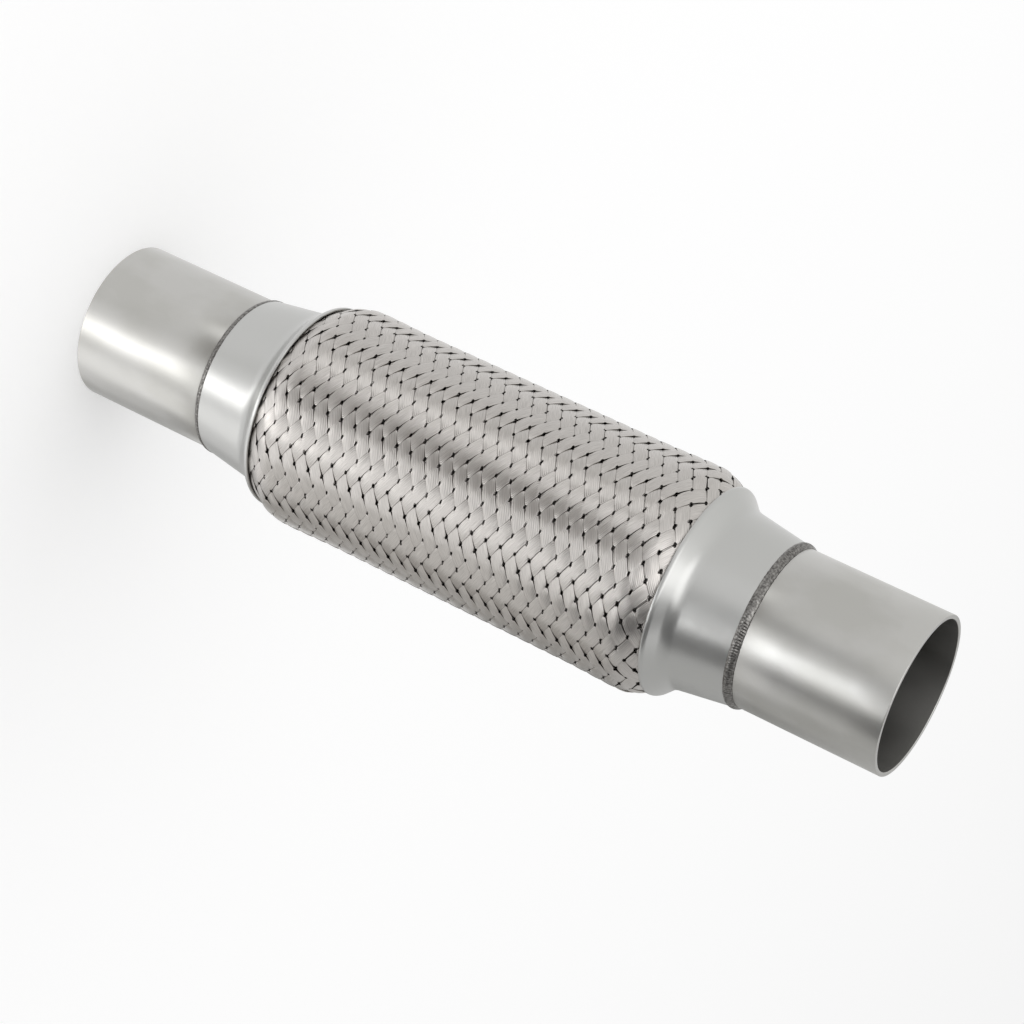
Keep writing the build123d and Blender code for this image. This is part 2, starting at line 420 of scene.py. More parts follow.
def drawn_stainless_tube(settings):
    """Stainless tube drawn through a die and wiped: a satin skin with faint lines along the tube.

    The die's lines are finer on the real tube. They are drawn 0.9 mm wide so that they show.
    """
    material, tree = new_material("drawn_stainless_tube")
    lines = add_node(
        tree, "ShaderNodeTexNoise", {"Vector": grain(tree, 0.91, 0.91, 33.3), "Scale": 1.0, "Detail": 3.0}
    )
    cloud = add_node(
        tree, "ShaderNodeTexNoise", {"Vector": grain(tree, 20.0, 20.0, 33.3), "Scale": 1.0, "Detail": 4.0}
    )
    rough = add_node(
        tree,
        "ShaderNodeMapRange",
        {"Value": cloud.outputs["Fac"], "From Min": 0.3, "From Max": 0.7, "To Min": 0.28, "To Max": 0.33},
    )
    bump = add_node(
        tree, "ShaderNodeBump", {"Height": lines.outputs["Fac"], "Strength": 0.25, "Distance": 0.02 * MM}
    )
    smears = add_node(
        tree, "ShaderNodeTexNoise", {"Vector": grain(tree, 14.3, 14.3, 22.2), "Scale": 1.0, "Detail": 5.0}
    )
    tint = add_node(tree, "ShaderNodeValToRGB", {"Fac": smears.outputs["Fac"]})
    set_stops(tint, (0.4, settings.smear), (0.6, settings.finish))
    surface = add_node(
        tree,
        "ShaderNodeBsdfPrincipled",
        {
            "Base Color": tint.outputs["Color"],
            "Metallic": 1.0,
            "Roughness": rough.outputs[0],
            "Normal": bump.outputs[0],
        },
    )
    finish_material(tree, surface)
    return material


def dull_shaded_tube_bore(settings):
    """The tube's inside: matt, with a darker grey that paints the shade deep in the tube."""
    material, tree = new_material("dull_shaded_tube_bore")
    cloud = add_node(
        tree, "ShaderNodeTexNoise", {"Vector": grain(tree, 10.0, 10.0, 20.0), "Scale": 1.0, "Detail": 4.0}
    )
    rough = add_node(
        tree,
        "ShaderNodeMapRange",
        {"Value": cloud.outputs["Fac"], "From Min": 0.3, "From Max": 0.7, "To Min": 0.45, "To Max": 0.6},
    )
    # Its darker base colour paints the shade inside the tube
    surface = add_node(
        tree,
        "ShaderNodeBsdfPrincipled",
        {"Base Color": (*settings.bore, 1.0), "Metallic": 1.0, "Roughness": rough.outputs[0]},
    )
    finish_material(tree, surface)
    return material


def stamped_stainless_sheet(settings):
    """Stainless sheet pressed and spun over a form: satin, with soft waves left by the press."""
    material, tree = new_material("stamped_stainless_sheet")
    waves = add_node(
        tree, "ShaderNodeTexNoise", {"Vector": grain(tree, 16.7, 16.7, 11.1), "Scale": 1.0, "Detail": 2.0}
    )
    cloud = add_node(
        tree, "ShaderNodeTexNoise", {"Vector": grain(tree, 8.33, 8.33, 8.33), "Scale": 1.0, "Detail": 5.0}
    )
    rough = add_node(
        tree,
        "ShaderNodeMapRange",
        {"Value": cloud.outputs["Fac"], "From Min": 0.3, "From Max": 0.7, "To Min": 0.28, "To Max": 0.32},
    )
    bump = add_node(
        tree, "ShaderNodeBump", {"Height": waves.outputs["Fac"], "Strength": 0.5, "Distance": 0.25 * MM}
    )
    surface = add_node(
        tree,
        "ShaderNodeBsdfPrincipled",
        {
            "Base Color": (*settings.finish, 1.0),
            "Metallic": 1.0,
            "Roughness": rough.outputs[0],
            "Normal": bump.outputs[0],
        },
    )
    finish_material(tree, surface)
    return material


def heat_tinted_weld(settings):
    """Weld metal left as it froze: dull, speckled dark grey with small bright glints."""
    material, tree = new_material("heat_tinted_weld")
    speckle = add_node(
        tree, "ShaderNodeTexNoise", {"Vector": grain(tree, 0.714, 0.714, 0.714), "Scale": 1.0, "Detail": 6.0}
    )
    tint = add_node(tree, "ShaderNodeValToRGB", {"Fac": speckle.outputs["Fac"]})
    set_stops(tint, (0.38, settings.scale), (0.66, settings.finish))
    bump = add_node(
        tree, "ShaderNodeBump", {"Height": speckle.outputs["Fac"], "Strength": 0.45, "Distance": 0.1 * MM}
    )
    surface = add_node(
        tree,
        "ShaderNodeBsdfPrincipled",
        {"Base Color": tint.outputs["Color"], "Metallic": 1.0, "Roughness": 0.3, "Normal": bump.outputs[0]},
    )
    finish_material(tree, surface)
    return material


def braided_stainless_wire(settings):
    """Fine drawn wire laid side by side: warm grey, streaked along the wires, with painted shade along the
    strips' edges where they meet.
    """
    material, tree = new_material("braided_stainless_wire")
    place = add_node(tree, "ShaderNodeTexCoord").outputs["UV"]
    spread = add_node(tree, "ShaderNodeSeparateXYZ", {"Vector": place})
    nearest = add_node(tree, "ShaderNodeMath", {0: spread.outputs["X"], 1: STRIP_HALF}, operation="PINGPONG")
    edge = add_node(tree, "ShaderNodeMapRange", {"Value": nearest.outputs[0], "From Max": SHADED_EDGE})
    along = add_node(
        tree, "ShaderNodeMapping", {"Vector": place, "Scale": (STREAKS_ACROSS, 1 / STREAK_LENGTH, 1.0)}
    )
    streaks = add_node(tree, "ShaderNodeTexNoise", {"Vector": along.outputs[0], "Scale": 1.0, "Detail": 2.0})
    tint = add_node(tree, "ShaderNodeValToRGB", {"Fac": streaks.outputs["Fac"]})
    set_stops(tint, (0.35, Vector(settings.finish) * 0.74), (0.65, settings.finish))
    # Mixes painted shade into the strips' edges
    shaded = add_node(
        tree,
        "ShaderNodeMix",
        {"Factor": edge.outputs[0], MIX_FIRST: (*settings.gap, 1.0), MIX_SECOND: tint.outputs["Color"]},
        data_type="RGBA",
    )
    surface = add_node(
        tree,
        "ShaderNodeBsdfPrincipled",
        {"Base Color": shaded.outputs[MIX_RESULT], "Metallic": 1.0, "Roughness": 0.28},
    )
    finish_material(tree, surface)
    return material


def formed_stainless_foil(settings):
    """Thin stainless sheet rolled into folds: dull grey with a faint grain."""
    material, tree = new_material("formed_stainless_foil")
    skin = add_node(
        tree, "ShaderNodeTexNoise", {"Vector": grain(tree, 1.25, 1.25, 1.25), "Scale": 1.0, "Detail": 4.0}
    )
    bump = add_node(
        tree, "ShaderNodeBump", {"Height": skin.outputs["Fac"], "Strength": 0.4, "Distance": 0.03 * MM}
    )
    surface = add_node(
        tree,
        "ShaderNodeBsdfPrincipled",
        {"Base Color": (*settings.finish, 1.0), "Metallic": 1.0, "Roughness": 0.4, "Normal": bump.outputs[0]},
    )
    finish_material(tree, surface)
    return material


def knitted_stainless_mesh(settings):
    """Knitted wire lining: a small net of wires about 1.2 mm apart, with painted shade in the holes between
    them.
    """
    material, tree = new_material("knitted_stainless_mesh")
    net = add_node(
        tree,
        "ShaderNodeTexVoronoi",
        {"Vector": grain(tree, 1.25, 1.25, 1.25)},
        feature="DISTANCE_TO_EDGE",
    )
    tint = add_node(tree, "ShaderNodeValToRGB", {"Fac": net.outputs["Distance"]})
    # The cells between the wires get a darker copy of the colour: painted shade in the holes
    set_stops(tint, (0.05, settings.finish), (0.3, Vector(settings.finish) * 0.35))
    bump = add_node(
        tree,
        "ShaderNodeBump",
        {"Height": net.outputs["Distance"], "Strength": 0.7, "Distance": 0.2 * MM},
        invert=True,
    )
    surface = add_node(
        tree,
        "ShaderNodeBsdfPrincipled",
        {"Base Color": tint.outputs["Color"], "Metallic": 1.0, "Roughness": 0.45, "Normal": bump.outputs[0]},
    )
    finish_material(tree, surface)
    return material


# Braid shape. Places along a strip are counted in crossings, and a hole lies half-way between two crossings.

# Rows of the mesh between one crossing and the next, and the step between rows under the caps
CROSSING_ROWS = (0.0, 0.38, 0.45, 0.55, 0.62)
HIDDEN_STEP = 1.2

# Distance from a hole's middle at which a strip starts to narrow, and the distance over which it does
HOLE_REACH = 0.12
HOLE_RAMP = 0.07

# Waves of (height, rate) that make the strips uneven: their place and width as shares of the pitch, and
# the size of the holes
PLACE_WAVES = ((0.008, 0.31), (0.006, 0.83))
WIDTH_WAVES = ((0.012, 0.47), (0.01, 1.3))
HOLE_WAVES = ((0.35, 2.7),)


def braid_profile(braid, caps, height):
    """Outside radius of the braid at heights in millimetres, as the CAD wall has it."""
    under_rim = RIM_OUTSIDE - caps.sheet - LAYER_CLEARANCE
    out = np.minimum(height, PIPE_LENGTH - height) - RIM_END
    quarter = np.clip(out / braid.swell_start, 0, 1) * math.pi / 2
    rise = under_rim + (braid.swell - under_rim) * np.sin(quarter)
    fade = np.clip((out - braid.swell_start) / braid.swell_length, 0, 1)
    even = braid.even + (braid.swell - braid.even) * (1 + np.cos(math.pi * fade)) / 2
    return np.where(out < braid.swell_start, rise, even)


def cone_end(caps):
    """Outside radius of the neck where the shoulder starts."""
    return caps.neck_radius + caps.neck_length * math.tan(caps.neck_taper)


def neck_profile(caps, height):
    """Radius of the crushed braid's outside in the caps' necks and shoulders."""
    reach = np.minimum(height, PIPE_LENGTH - height) - TUBE_END
    inset = caps.sheet + LAYER_CLEARANCE
    cone = caps.neck_radius + reach * math.tan(caps.neck_taper) - inset / math.cos(caps.neck_taper)
    flank = cone_end(caps) + (reach - caps.neck_length) * math.tan(caps.shoulder)
    flank = flank - inset / math.cos(caps.shoulder)
    return np.minimum(np.maximum(cone, flank), RIM_OUTSIDE - inset)


def over_and_under(place):
    """Lift of a strip as it goes over two crossings and under two, from -1 to 1."""
    return np.cos(math.pi / 2 * (place - 0.5))


def unevenness(rows, waves, phases):
    """Sum of waves along a strip."""
    return sum(height * np.sin(rows * rate + phase) for (height, rate), phase in zip(waves, phases))


def strip_section(braid):
    """Points across a closed strip: (place across from -1 to 1, height over the strip's middle)."""
    half = braid.thickness / 2
    section = [(1.0, -half)]
    for wire in range(braid.wires):
        left = 1 - 2 * wire / braid.wires
        section.append((left, half - braid.wire_relief))
        section.append((left - 1 / braid.wires, half))
    section.append((-1.0, half - braid.wire_relief))
    section.append((-1.0, -half))
    return [(place, height - braid.crown * place ** 2) for place, height in section]


def strip_rows(braid):
    """Places along a strip, from its middle: close together beside the holes, few under the caps."""
    climb = braid.lead / (2 * braid.strips)
    full = math.ceil((MIDDLE - RIM_END + braid.tuck + braid.shift) / climb)
    fine = [crossing + place for crossing in range(-full, full) for place in CROSSING_ROWS]
    coarse = np.arange(full + HIDDEN_STEP, (MIDDLE - BRAID_START - braid.shift) / climb, HIDDEN_STEP)
    return np.concatenate([-coarse[::-1], fine, [full], coarse])


def hole_narrowing(rows):
    """One at the holes and nought beside them."""
    return np.clip((HOLE_REACH - np.abs(rows % 1 - 0.5)) / HOLE_RAMP, 0, 1)


def wind_strips(braid, caps, sense, strips, chance):
    """Points, faces and strip coordinates of some of the strips wound one way round.

    A strip keeps one number across the weave while the number of the strips it crosses counts up.
    """
    turn = math.pi / braid.strips
    climb = braid.lead / (2 * braid.strips)
    slant = math.atan2(2 * math.pi * braid.even, braid.lead)
    rows = strip_rows(braid)
    section = strip_section(braid)
    across = np.array([place for place, _ in section])
    rise = np.array([height for _, height in section])
    whole = np.zeros((len(rows), len(section)))
    from_outlet_rim = PIPE_LENGTH - RIM_END - MIDDLE - rows * climb
    loosening = braid.loosened * np.exp(-np.maximum(from_outlet_rim, 0) / braid.loose_length)
    points, faces, coords = [], [], []
    count = len(section)
    for strip in strips:
        phase = [chance.uniform(0, 2 * math.pi) for _ in range(4)]
        width = braid.cover * (1 + unevenness(rows, WIDTH_WAVES, phase[2:]))
        width *= 1 - braid.pinch * hole_narrowing(rows) * (1 + unevenness(rows, HOLE_WAVES, phase))
        width *= 1 - loosening
        wander = unevenness(rows, PLACE_WAVES, phase)
        own = strip + wander[:, None] + across[None, :] * width[:, None] / 2
        crossed = strip + sense * rows[:, None] + whole
        angle = (own + crossed + 0.5) * turn
        height = MIDDLE + braid.shift + sense * (crossed - own) * climb
        reach = np.minimum(height, PIPE_LENGTH - height) - RIM_END + braid.tuck
        pressed = np.clip(-reach / braid.pressing, 0, 1)
        room = braid.lift * (1 - pressed) + braid.pressed_lift * pressed
        free_lift = braid.lift * over_and_under(strip + crossed) * (1 - pressed)
        lift = sense * (free_lift + braid.pressed_lift * pressed)
        outer = np.where(
            reach > braid.tuck, braid_profile(braid, caps, height), neck_profile(caps, height)
        )
        radius = outer - braid.thickness / 2 - room - braid.skin + lift + rise[None, :]
        start = len(points)
        spots = np.stack([radius * np.cos(angle), radius * np.sin(angle), height], axis=-1)
        points.extend(spots.reshape(-1, 3).tolist())
        travel = rows[:, None] * climb / math.cos(slant) + whole
        place = (across[None, :] + 1 + 2 * strip) * STRIP_HALF + whole
        coords.extend(np.stack([place, travel], axis=-1).reshape(-1, 2).tolist())
        first = range(start, start + count)
        last = range(len(points) - count, len(points))
        # The two windings mirror one another, so their quads are split along mirrored diagonals
        corner = 0 if sense > 0 else 1
        for face in ring_faces(len(rows), count, closed=False):
            faces.append(tuple(start + index for index in (*face[corner:], *face[:corner])))
        faces += [tuple(first), tuple(reversed(last))]
    return points, faces, coords


def mark_wires(piece, count):
    """Makes the edges that run along the strips sharp. Each ring of a strip has the given count of points."""
    mesh = piece.data
    ends = np.empty(2 * len(mesh.edges), dtype=np.int32)
    mesh.edges.foreach_get("vertices", ends)
    ends = ends.reshape(-1, 2)
    mesh.edges.foreach_set("use_edge_sharp", (ends[:, 0] % count == ends[:, 1] % count).tolist())


# Weld shape

# Rows of the mesh to a ripple and across the bead
RIPPLE_ROWS = 6
BEAD_ROWS = 12

# How far a ripple's middle runs ahead of its ends, in ripples, the range of the ripples' depths and the share
# by which their width varies
RIPPLE_LEAD = 0.55
RIPPLE_DEPTHS = (0.6, 1.25)
RIPPLE_SWAY = 0.06

# Power that gives the bead's section its full shape, depth of its foot in the tube, height of its foot over
# the neck, and depth and reach of its root under both
BEAD_FULLNESS = 0.8
TUBE_FOOT = 0.03
NECK_FOOT = 0.2
ROOT_DEPTH = 0.5
ROOT_REACH = 0.4


def bead_points(welds, tubes, caps, size, ripples, beat, sway):
    """Points of a weld bead at the inlet end as (angle, radius, height), ring after ring."""
    half = size * welds.width / 2
    points = []
    for step in range(RIPPLE_ROWS * ripples):
        angle = 2 * math.pi * step / (RIPPLE_ROWS * ripples)
        for index in range(BEAD_ROWS + 1):
            part = index / BEAD_ROWS
            bow = math.sin(math.pi * part)
            place = step / RIPPLE_ROWS + RIPPLE_LEAD * bow
            ripple = int(place) % ripples
            swing = math.sin(math.pi * (place - int(place)))
            foot = tubes.radius - TUBE_FOOT + (caps.neck_radius + NECK_FOOT - tubes.radius) * part
            dip = size * welds.depth * beat[ripple] * (1 - swing) * bow
            wide = half * (1 + RIPPLE_SWAY * sway[ripple] * swing)
            crown = size * welds.height * bow ** BEAD_FULLNESS
            points.append((angle, foot + crown - dip, TUBE_END - wide + 2 * wide * part))
        points.append((angle, caps.neck_radius - ROOT_DEPTH, TUBE_END + ROOT_REACH))
        points.append((angle, tubes.radius - ROOT_DEPTH, TUBE_END - ROOT_REACH))
    return points


# Operators

class FLEXPIPE_OT_tubes(bpy.types.Operator):
    """Builds the two extension tubes"""

    bl_idname = "flexpipe.tubes"
    bl_label = "Extension tubes"

    # Rows along the walls that keep the shading of the lip and the bevel near them
    outside_rows = (12.0, 24.0, 36.0)
    inside_rows = (34.0, 17.0)

    def execute(self, context):
        tubes = in_millimetres(context.scene.flex_tubes)
        outer = tubes.radius
        inner = tubes.radius - tubes.wall
        outline = arc((outer - tubes.lip, tubes.lip), tubes.lip, -90, 0, 5)
        outline += [(outer, height) for height in self.outside_rows]
        outline += [(outer, tubes.end - tubes.bevel_length), (outer - tubes.bevel, tubes.end)]
        outline += [(inner, tubes.end)]
        outline += [(inner, height) for height in self.inside_rows]
        outline += arc((inner + tubes.lip, tubes.lip), tubes.lip, 180, 270, 5)
        materials = (drawn_stainless_tube(tubes), dull_shaded_tube_bore(tubes))
        both_ends(outline, 256, "tube", materials, sharp=35, bore=inner)
        return {"FINISHED"}


class FLEXPIPE_OT_caps(bpy.types.Operator):
    """Builds the two stamped end caps"""

    bl_idname = "flexpipe.caps"
    bl_label = "End caps"

    def execute(self, context):
        caps = in_millimetres(context.scene.flex_caps)
        neck_end = cone_end(caps)
        run = (caps.rim_radius - neck_end) / math.tan(caps.shoulder)
        outside = [
            (caps.neck_radius, TUBE_END),
            (neck_end, TUBE_END + caps.neck_length),
            (caps.rim_radius, TUBE_END + caps.neck_length + run),
            (caps.rim_radius, caps.rim_end),
        ]
        inside = moved_in(outside, caps.sheet)
        neck_rows = [Vector(outside[0]).lerp(Vector(outside[1]), row) for row in (0.0, 0.25, 0.5, 0.75)]
        outline = [tuple(row) for row in neck_rows]
        outline += rounded_corner(*outside[:3], caps.fillet, 16)
        outline += rounded_corner(*outside[1:], caps.rounding, 12)
        edge_height = caps.rim_end - caps.edge
        outline += arc((caps.rim_radius - caps.edge, edge_height), caps.edge, 0, 90, 4)
        outline += arc((caps.rim_radius - caps.sheet + caps.edge, edge_height), caps.edge, 90, 180, 4)
        outline += rounded_corner(*inside[:0:-1], caps.rounding - caps.sheet, 8)
        outline += rounded_corner(*inside[2::-1], caps.fillet + caps.sheet, 10)
        outline.append((inside[0][0], TUBE_END))
        both_ends(outline, 288, "end_cap", (stamped_stainless_sheet(caps),), sharp=50)
        return {"FINISHED"}


class FLEXPIPE_OT_welds(bpy.types.Operator):
    """Builds the two rippled seam welds"""

    bl_idname = "flexpipe.welds"
    bl_label = "Seam welds"

    def execute(self, context):
        welds = in_millimetres(context.scene.flex_welds)
        tubes = in_millimetres(context.scene.flex_tubes)
        caps = in_millimetres(context.scene.flex_caps)
        material = heat_tinted_weld(welds)
        chance = random.Random(11)
        ripples = round(2 * math.pi * tubes.radius / welds.ripple)
        beat = [chance.uniform(*RIPPLE_DEPTHS) for _ in range(ripples + 1)]
        sway = [chance.uniform(-1, 1) for _ in range(ripples + 1)]
        quads = ring_faces(RIPPLE_ROWS * ripples, BEAD_ROWS + 3, closed=True)
        for end, size in (("inlet", welds.inlet_share), ("outlet", 1.0)):
            flip = end == "outlet"
            points = []
            for angle, radius, height in bead_points(welds, tubes, caps, size, ripples, beat, sway):
                height = PIPE_LENGTH - height if flip else height
                points.append((radius * math.cos(angle), radius * math.sin(angle), height))
            faces = [tuple(reversed(quad)) for quad in quads] if flip else quads
            piece = make_piece(f"{end}_weld_bead", points, faces, material)
            part_piece(piece, f"{end}_weld")
        return {"FINISHED"}


class FLEXPIPE_OT_braid(bpy.types.Operator):
    """Weaves the outer braid from strips wound both ways"""

    bl_idname = "flexpipe.braid"
    bl_label = "Outer braid"

    def execute(self, context):
        braid = in_millimetres(context.scene.flex_braid)
        caps = in_millimetres(context.scene.flex_caps)
        material = braided_stainless_wire(braid)
        chance = random.Random(5)
        for name, sense in (("rising", 1), ("falling", -1)):
            for first, turn in enumerate(("even", "odd")):
                strips = range(first, braid.strips, 2)
                points, faces, coords = wind_strips(braid, caps, sense, strips, chance)
                piece = make_piece(f"outer_braid_{name}_{turn}_strips", points, faces, material, uv=coords)
                mark_wires(piece, len(strip_section(braid)))
                part_piece(piece, "outer_braid")
        return {"FINISHED"}


class FLEXPIPE_OT_hidden(bpy.types.Operator):
    """Gives the bellows, the inner sleeve and the rings their finish"""

    bl_idname = "flexpipe.hidden"
    bl_label = "Bellows, sleeve and rings"

    def execute(self, context):
        settings = context.scene.flex_hidden
        foil = formed_stainless_foil(settings)
        mesh = knitted_stainless_mesh(settings)
        finishes = {"bellows": foil, "inlet_inner_ring": foil, "outlet_inner_ring": foil, "inner_braid": mesh}
        for node, material in finishes.items():
            for material_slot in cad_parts[node].material_slots:
                material_slot.material = material
        return {"FINISHED"}


# Stage

# Turn of the camera round the bore, in degrees, that brings the weave to where the photograph has it
VIEW_TURN = 4.7

# From a camera fitted to the photograph: the direction of the bore towards the outlet, and the middle of the
# outlet mouth in millimetres, both as (right, down, ahead) of the camera
SEEN_DIRECTION = (0.83362, 0.39670, -0.38433)
SEEN_MOUTH = (122.788, 55.602, 880.702)
SENSOR_WIDTH = 36.0

# Place of the overhead lamp and the point that it faces, in metres
LAMP_PLACE = (-1.0, -0.6, 2.2)
LAMP_TARGET = (0.0, 0.0, 0.1)

# Radius and height of the disc of floor within the inlet mouth, which closes it for the metal's reflections
MOUTH_RADIUS = 25.0
MOUTH_HEIGHT = 0.05

# Cards that the metal reflects. A standing card has its distance in metres, azimuth and width in degrees
# from the camera's side, foot and head in metres, level and colour. The inlet tube mirrors the low ones,
# the braid the near ones and the outlet tube the high ones.
STANDING_CARDS = (
    ("low_dark_card", 0.9, 14.0, 10.0, -1.2, -0.22, 0.85, (1.0, 1.0, 0.98)),
    ("low_bright_card", 0.9, -31.0, 23.0, -1.2, -0.22, 3.0, (1.0, 1.0, 1.0)),
    ("low_pale_card", 0.9, -81.0, 34.0, -1.2, -0.22, 1.5, (1.0, 1.0, 1.0)),
    ("low_grey_card", 0.9, -116.0, 36.0, -0.47, -0.22, 0.55, (1.0, 1.0, 0.99)),
    ("low_side_card", 0.9, -155.0, 50.0, -1.2, -0.38, 0.6, (1.0, 1.0, 0.99)),
    ("near_shade_card", 0.15, 55.0, 20.0, 0.0, 0.185, 0.75, (1.0, 0.99, 0.97)),
    ("near_tip_card", 0.15, 36.0, 11.0, 0.0, 0.185, 1.6, (1.0, 1.0, 1.0)),
    ("near_dark_card", 0.15, 10.0, 29.0, 0.0, 0.185, 0.4, (1.0, 0.97, 0.94)),
    ("near_bright_card", 0.15, -35.0, 30.0, 0.0, 0.185, 1.35, (1.0, 1.0, 1.0)),
    ("near_grey_card", 0.15, -73.0, 44.0, 0.0, 0.185, 0.84, (1.0, 0.99, 0.97)),
    ("near_brown_card", 0.15, -111.0, 28.0, 0.0, 0.185, 0.45, (1.0, 0.97, 0.92)),
    ("high_pale_card", 0.9, 62.0, 90.0, -0.22, 0.06, 0.86, (1.0, 1.0, 1.0)),
    ("high_grey_card", 0.9, 3.0, 16.0, -0.22, 0.06, 0.35, (0.98, 0.99, 1.0)),
    ("high_bright_card", 0.9, -31.0, 20.0, -0.22, 0.06, 3.3, (0.96, 0.98, 1.0)),
    ("high_dark_card", 0.9, -60.0, 16.0, -0.22, 0.06, 0.35, (0.98, 0.99, 1.0)),
    ("high_shade_card", 0.9, -106.0, 28.0, -0.22, 0.06, 0.55, (1.0, 1.0, 0.98)),
    ("high_side_card", 0.9, -150.0, 54.0, -0.22, 0.06, 0.4, (1.0, 1.0, 0.98)),
)

# Cards bowed like parts of a dome round the outlet cap: distance in metres, azimuth and width, lowest and
# highest elevation in degrees, level and colour. The caps mirror them.
DOME_CARDS = (
    ("dome_side_card", 0.9, -122.0, 94.0, -12.0, 45.0, 0.66, (1.0, 1.0, 0.99)),
    ("dome_dark_card", 0.85, -54.0, 48.0, -12.0, 66.0, 0.18, (1.0, 1.0, 1.0)),
    ("dome_stroke_card", 0.8, -40.0, 14.0, -9.0, 0.0, 2.2, (1.0, 1.0, 1.0)),
    ("dome_bright_card", 0.85, 2.0, 56.0, 30.0, 84.0, 2.0, (1.0, 1.0, 1.0)),
    ("dome_grey_card", 0.9, -12.0, 24.0, -12.0, 14.0, 0.6, (1.0, 1.0, 1.0)),
    ("dome_pale_card", 0.9, 100.0, 130.0, -12.0, 70.0, 0.93, (1.0, 1.0, 0.99)),
    ("dome_back_card", 0.9, 180.0, 30.0, 4.0, 45.0, 0.7, (1.0, 1.0, 1.0)),
    ("deep_bright_card", 0.9, -32.0, 30.0, -86.0, -56.0, 2.5, (1.0, 1.0, 1.0)),
)
DOME_MIDDLE = PIPE_LENGTH - (TUBE_END + RIM_END) / 2
CARD_STEPS = 6


def seen_from(azimuth, distance, height):
    """A point at an azimuth in degrees from the camera's side."""
    angle = math.radians(azimuth - VIEW_TURN)
    return -math.sin(angle) * distance, -math.cos(angle) * distance, height


def card(name, azimuth, width, rows, level, rgb):
    """A card that only the metal's reflections see, through rows of (distance, height) in millimetres."""
    material, tree = new_material(name)
    material.cycles.emission_sampling = "NONE"
    finish_material(tree, add_node(tree, "ShaderNodeEmission", {"Color": (*rgb, 1.0), "Strength": level}))
    points, faces = [], []
    for distance, height in rows:
        for step in range(CARD_STEPS + 1):
            points.append(seen_from(azimuth + width * (step / CARD_STEPS - 0.5), distance, height))
    count = CARD_STEPS + 1
    for row in range(len(rows) - 1):
        for step in range(CARD_STEPS):
            start = row * count + step
            faces.append((start, start + 1, start + 1 + count, start + count))
    panel = make_piece(name, points, faces, material, smooth=False)
    panel.visible_camera = False
    panel.visible_diffuse = False
    panel.visible_shadow = False
    panel.visible_transmission = False


def standing_card(name, distance, azimuth, width, low, high, level, rgb):
    """A card that stands upright."""
    card(name, azimuth, width, [(distance / MM, low / MM), (distance / MM, high / MM)], level, rgb)


def dome_card(name, distance, azimuth, width, low, high, level, rgb):
    """A card that is part of a dome round the outlet cap."""
    rows = []
    for step in range(CARD_STEPS + 1):
        rise = math.radians(low + (high - low) * step / CARD_STEPS)
        rows.append((distance / MM * math.cos(rise), DOME_MIDDLE + distance / MM * math.sin(rise)))
    card(name, azimuth, width, rows, level, rgb)


def strength_by_ray(tree, direct, other):
    """One strength for camera, glossy and transmission rays and another for the rest."""
    path = add_node(tree, "ShaderNodeLightPath").outputs
    seen = add_node(
        tree, "ShaderNodeMath", {0: path["Is Camera Ray"], 1: path["Is Glossy Ray"]}, operation="MAXIMUM"
    )
    seen = add_node(
        tree, "ShaderNodeMath", {0: seen.outputs[0], 1: path["Is Transmission Ray"]}, operation="MAXIMUM"
    )
    strength = add_node(
        tree, "ShaderNodeMapRange", {"Value": seen.outputs[0], "To Min": other, "To Max": direct}
    )
    return strength.outputs[0]


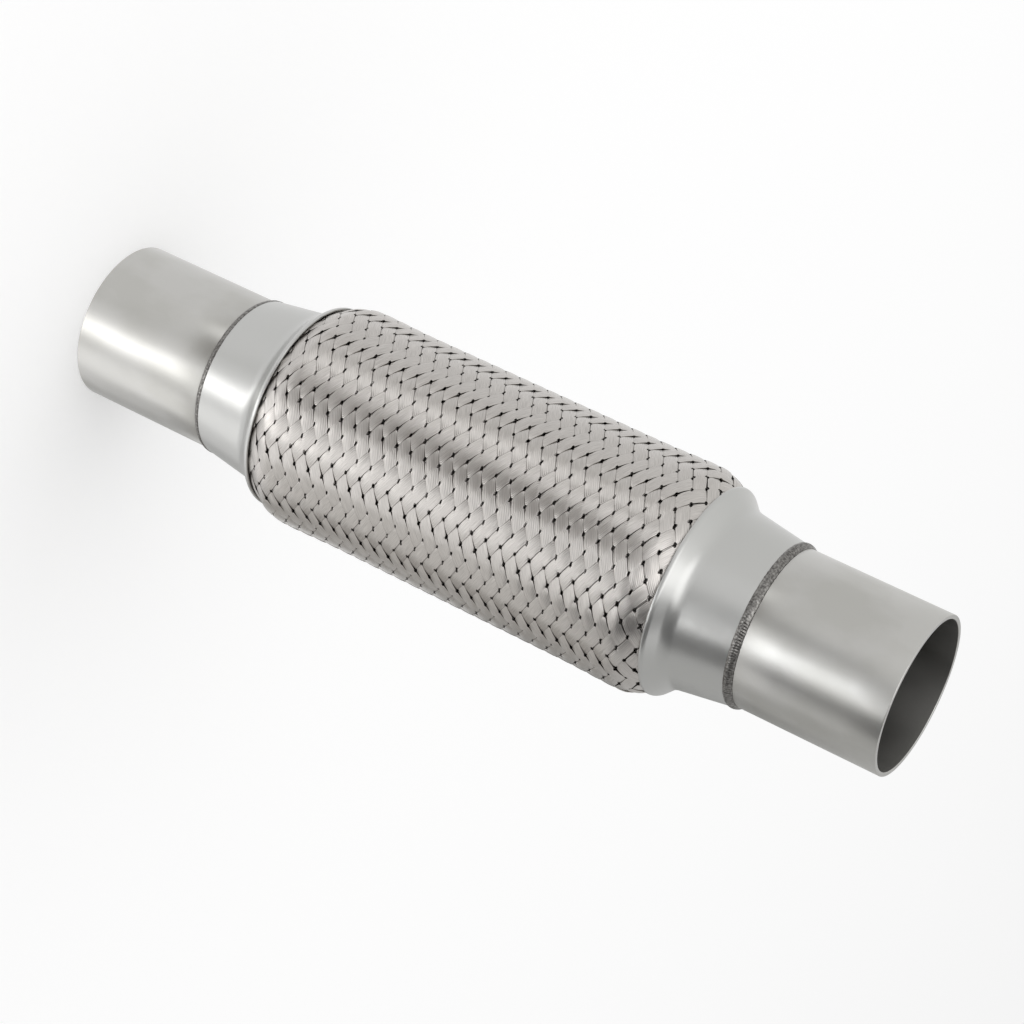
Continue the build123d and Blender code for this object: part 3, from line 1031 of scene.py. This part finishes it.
class FLEXPIPE_OT_stage(bpy.types.Operator):
    """Sets the floor, the room light, the lamp, the cards and the camera"""

    bl_idname = "flexpipe.stage"
    bl_label = "Stage"

    def execute(self, context):
        stage = in_millimetres(context.scene.flex_stage)
        self.add_floor(stage)
        self.add_room(context, stage)
        self.add_lamp(context, stage)
        for values in STANDING_CARDS:
            standing_card(*values)
        for values in DOME_CARDS:
            dome_card(*values)
        self.add_camera(context, stage)
        context.scene.view_settings.view_transform = "Standard"
        return {"FINISHED"}

    def add_floor(self, stage):
        """Lays the white floor, which keeps the shadow, and closes the inlet mouth with a disc of it."""
        half = stage.floor_size / 2
        material, tree = new_material("white_studio_floor")
        white = add_node(tree, "ShaderNodeBsdfDiffuse", {"Color": (*stage.floor, 1.0)})
        strength = strength_by_ray(tree, stage.floor_lift, 0.0)
        lift = add_node(tree, "ShaderNodeEmission", {"Strength": strength})
        both = add_node(tree, "ShaderNodeAddShader", {0: white.outputs[0], 1: lift.outputs[0]})
        finish_material(tree, both)
        corners = [(-half, -half, 0), (half, -half, 0), (half, half, 0), (-half, half, 0)]
        floor = make_piece("floor", corners, [(0, 1, 2, 3)], material, smooth=False)
        floor.visible_glossy = False
        material, tree = new_material("floor_under_mouth")
        finish_material(tree, add_node(tree, "ShaderNodeBsdfDiffuse", {"Color": (*stage.floor, 1.0)}))
        rim = [(*point, MOUTH_HEIGHT) for point in arc((0, 0), MOUTH_RADIUS, 0, 354, 59)]
        make_piece("floor_under_mouth", rim, [tuple(range(len(rim)))], material, smooth=False)

    def add_room(self, context, stage):
        """Makes the even light of a white room."""
        world = bpy.data.worlds.new("room")
        world.use_nodes = True
        context.scene.world = world
        tree = world.node_tree
        tree.nodes.clear()
        strength = strength_by_ray(tree, 1.0, stage.room)
        sky = add_node(tree, "ShaderNodeBackground", {"Color": (1.0, 1.0, 1.0, 1.0), "Strength": strength})
        add_node(tree, "ShaderNodeOutputWorld", {"Surface": sky.outputs[0]})

    def add_lamp(self, context, stage):
        """Hangs the overhead lamp."""
        lamp = bpy.data.lights.new("overhead", "AREA")
        lamp.shape = "SQUARE"
        lamp.size = stage.lamp_size * MM
        lamp.energy = stage.lamp_power
        overhead = bpy.data.objects.new("overhead", lamp)
        overhead.location = LAMP_PLACE
        aim = Vector(LAMP_TARGET) - overhead.location
        overhead.rotation_euler = aim.to_track_quat("-Z", "Y").to_euler()
        context.scene.collection.objects.link(overhead)

    def add_camera(self, context, stage):
        """Looks down at the pipe as the photograph does, rolled so that the pipe lies across the frame."""
        bore = Vector(SEEN_DIRECTION)
        mouth = Vector(SEEN_MOUTH) * MM
        side = Vector((1, 0, 0))
        ahead = Vector((0, math.sqrt(1 - bore.z ** 2), bore.z))
        above = side.cross(ahead)
        roll = math.atan2(bore.x, -bore.y)
        right = side * math.cos(roll) + above * math.sin(roll)
        up = above * math.cos(roll) - side * math.sin(roll)
        place = Vector((0, 0, PIPE_LENGTH * MM)) - right * mouth.x + up * mouth.y - ahead * mouth.z
        data = bpy.data.cameras.new("camera")
        data.lens = stage.focal
        data.sensor_width = SENSOR_WIDTH
        camera = bpy.data.objects.new("camera", data)
        look = Matrix.Translation(place) @ Matrix((right, up, -ahead)).transposed().to_4x4()
        camera.matrix_world = Matrix.Rotation(math.radians(VIEW_TURN), 4, "Z") @ look
        context.scene.collection.objects.link(camera)
        context.scene.camera = camera


OPERATORS = (
    FLEXPIPE_OT_tubes,
    FLEXPIPE_OT_caps,
    FLEXPIPE_OT_welds,
    FLEXPIPE_OT_braid,
    FLEXPIPE_OT_hidden,
    FLEXPIPE_OT_stage,
)


class FLEXPIPE_PT_pieces(bpy.types.Panel):
    """The pieces of the flex pipe and their settings"""

    bl_idname = "FLEXPIPE_PT_pieces"
    bl_label = "Exhaust flex pipe"
    bl_space_type = "VIEW_3D"
    bl_region_type = "UI"
    bl_category = "Flex pipe"

    def draw(self, context):
        for operator, name in zip(OPERATORS, SETTINGS):
            box = self.layout.box()
            box.operator(operator.bl_idname)
            group = getattr(context.scene, name)
            for key in SETTINGS[name].__annotations__:
                box.prop(group, key)


def register():
    for group in SETTINGS.values():
        bpy.utils.register_class(group)
    for name, group in SETTINGS.items():
        setattr(bpy.types.Scene, name, bpy.props.PointerProperty(type=group))
    for operator in OPERATORS:
        bpy.utils.register_class(operator)
    bpy.utils.register_class(FLEXPIPE_PT_pieces)


def unregister():
    bpy.utils.unregister_class(FLEXPIPE_PT_pieces)
    for operator in reversed(OPERATORS):
        bpy.utils.unregister_class(operator)
    for name in SETTINGS:
        delattr(bpy.types.Scene, name)
    for group in reversed(list(SETTINGS.values())):
        bpy.utils.unregister_class(group)


def main():
    register()
    bpy.ops.flexpipe.tubes()
    bpy.ops.flexpipe.caps()
    bpy.ops.flexpipe.welds()
    bpy.ops.flexpipe.braid()
    bpy.ops.flexpipe.hidden()
    bpy.ops.flexpipe.stage()


if __name__ == "__main__":
    main()
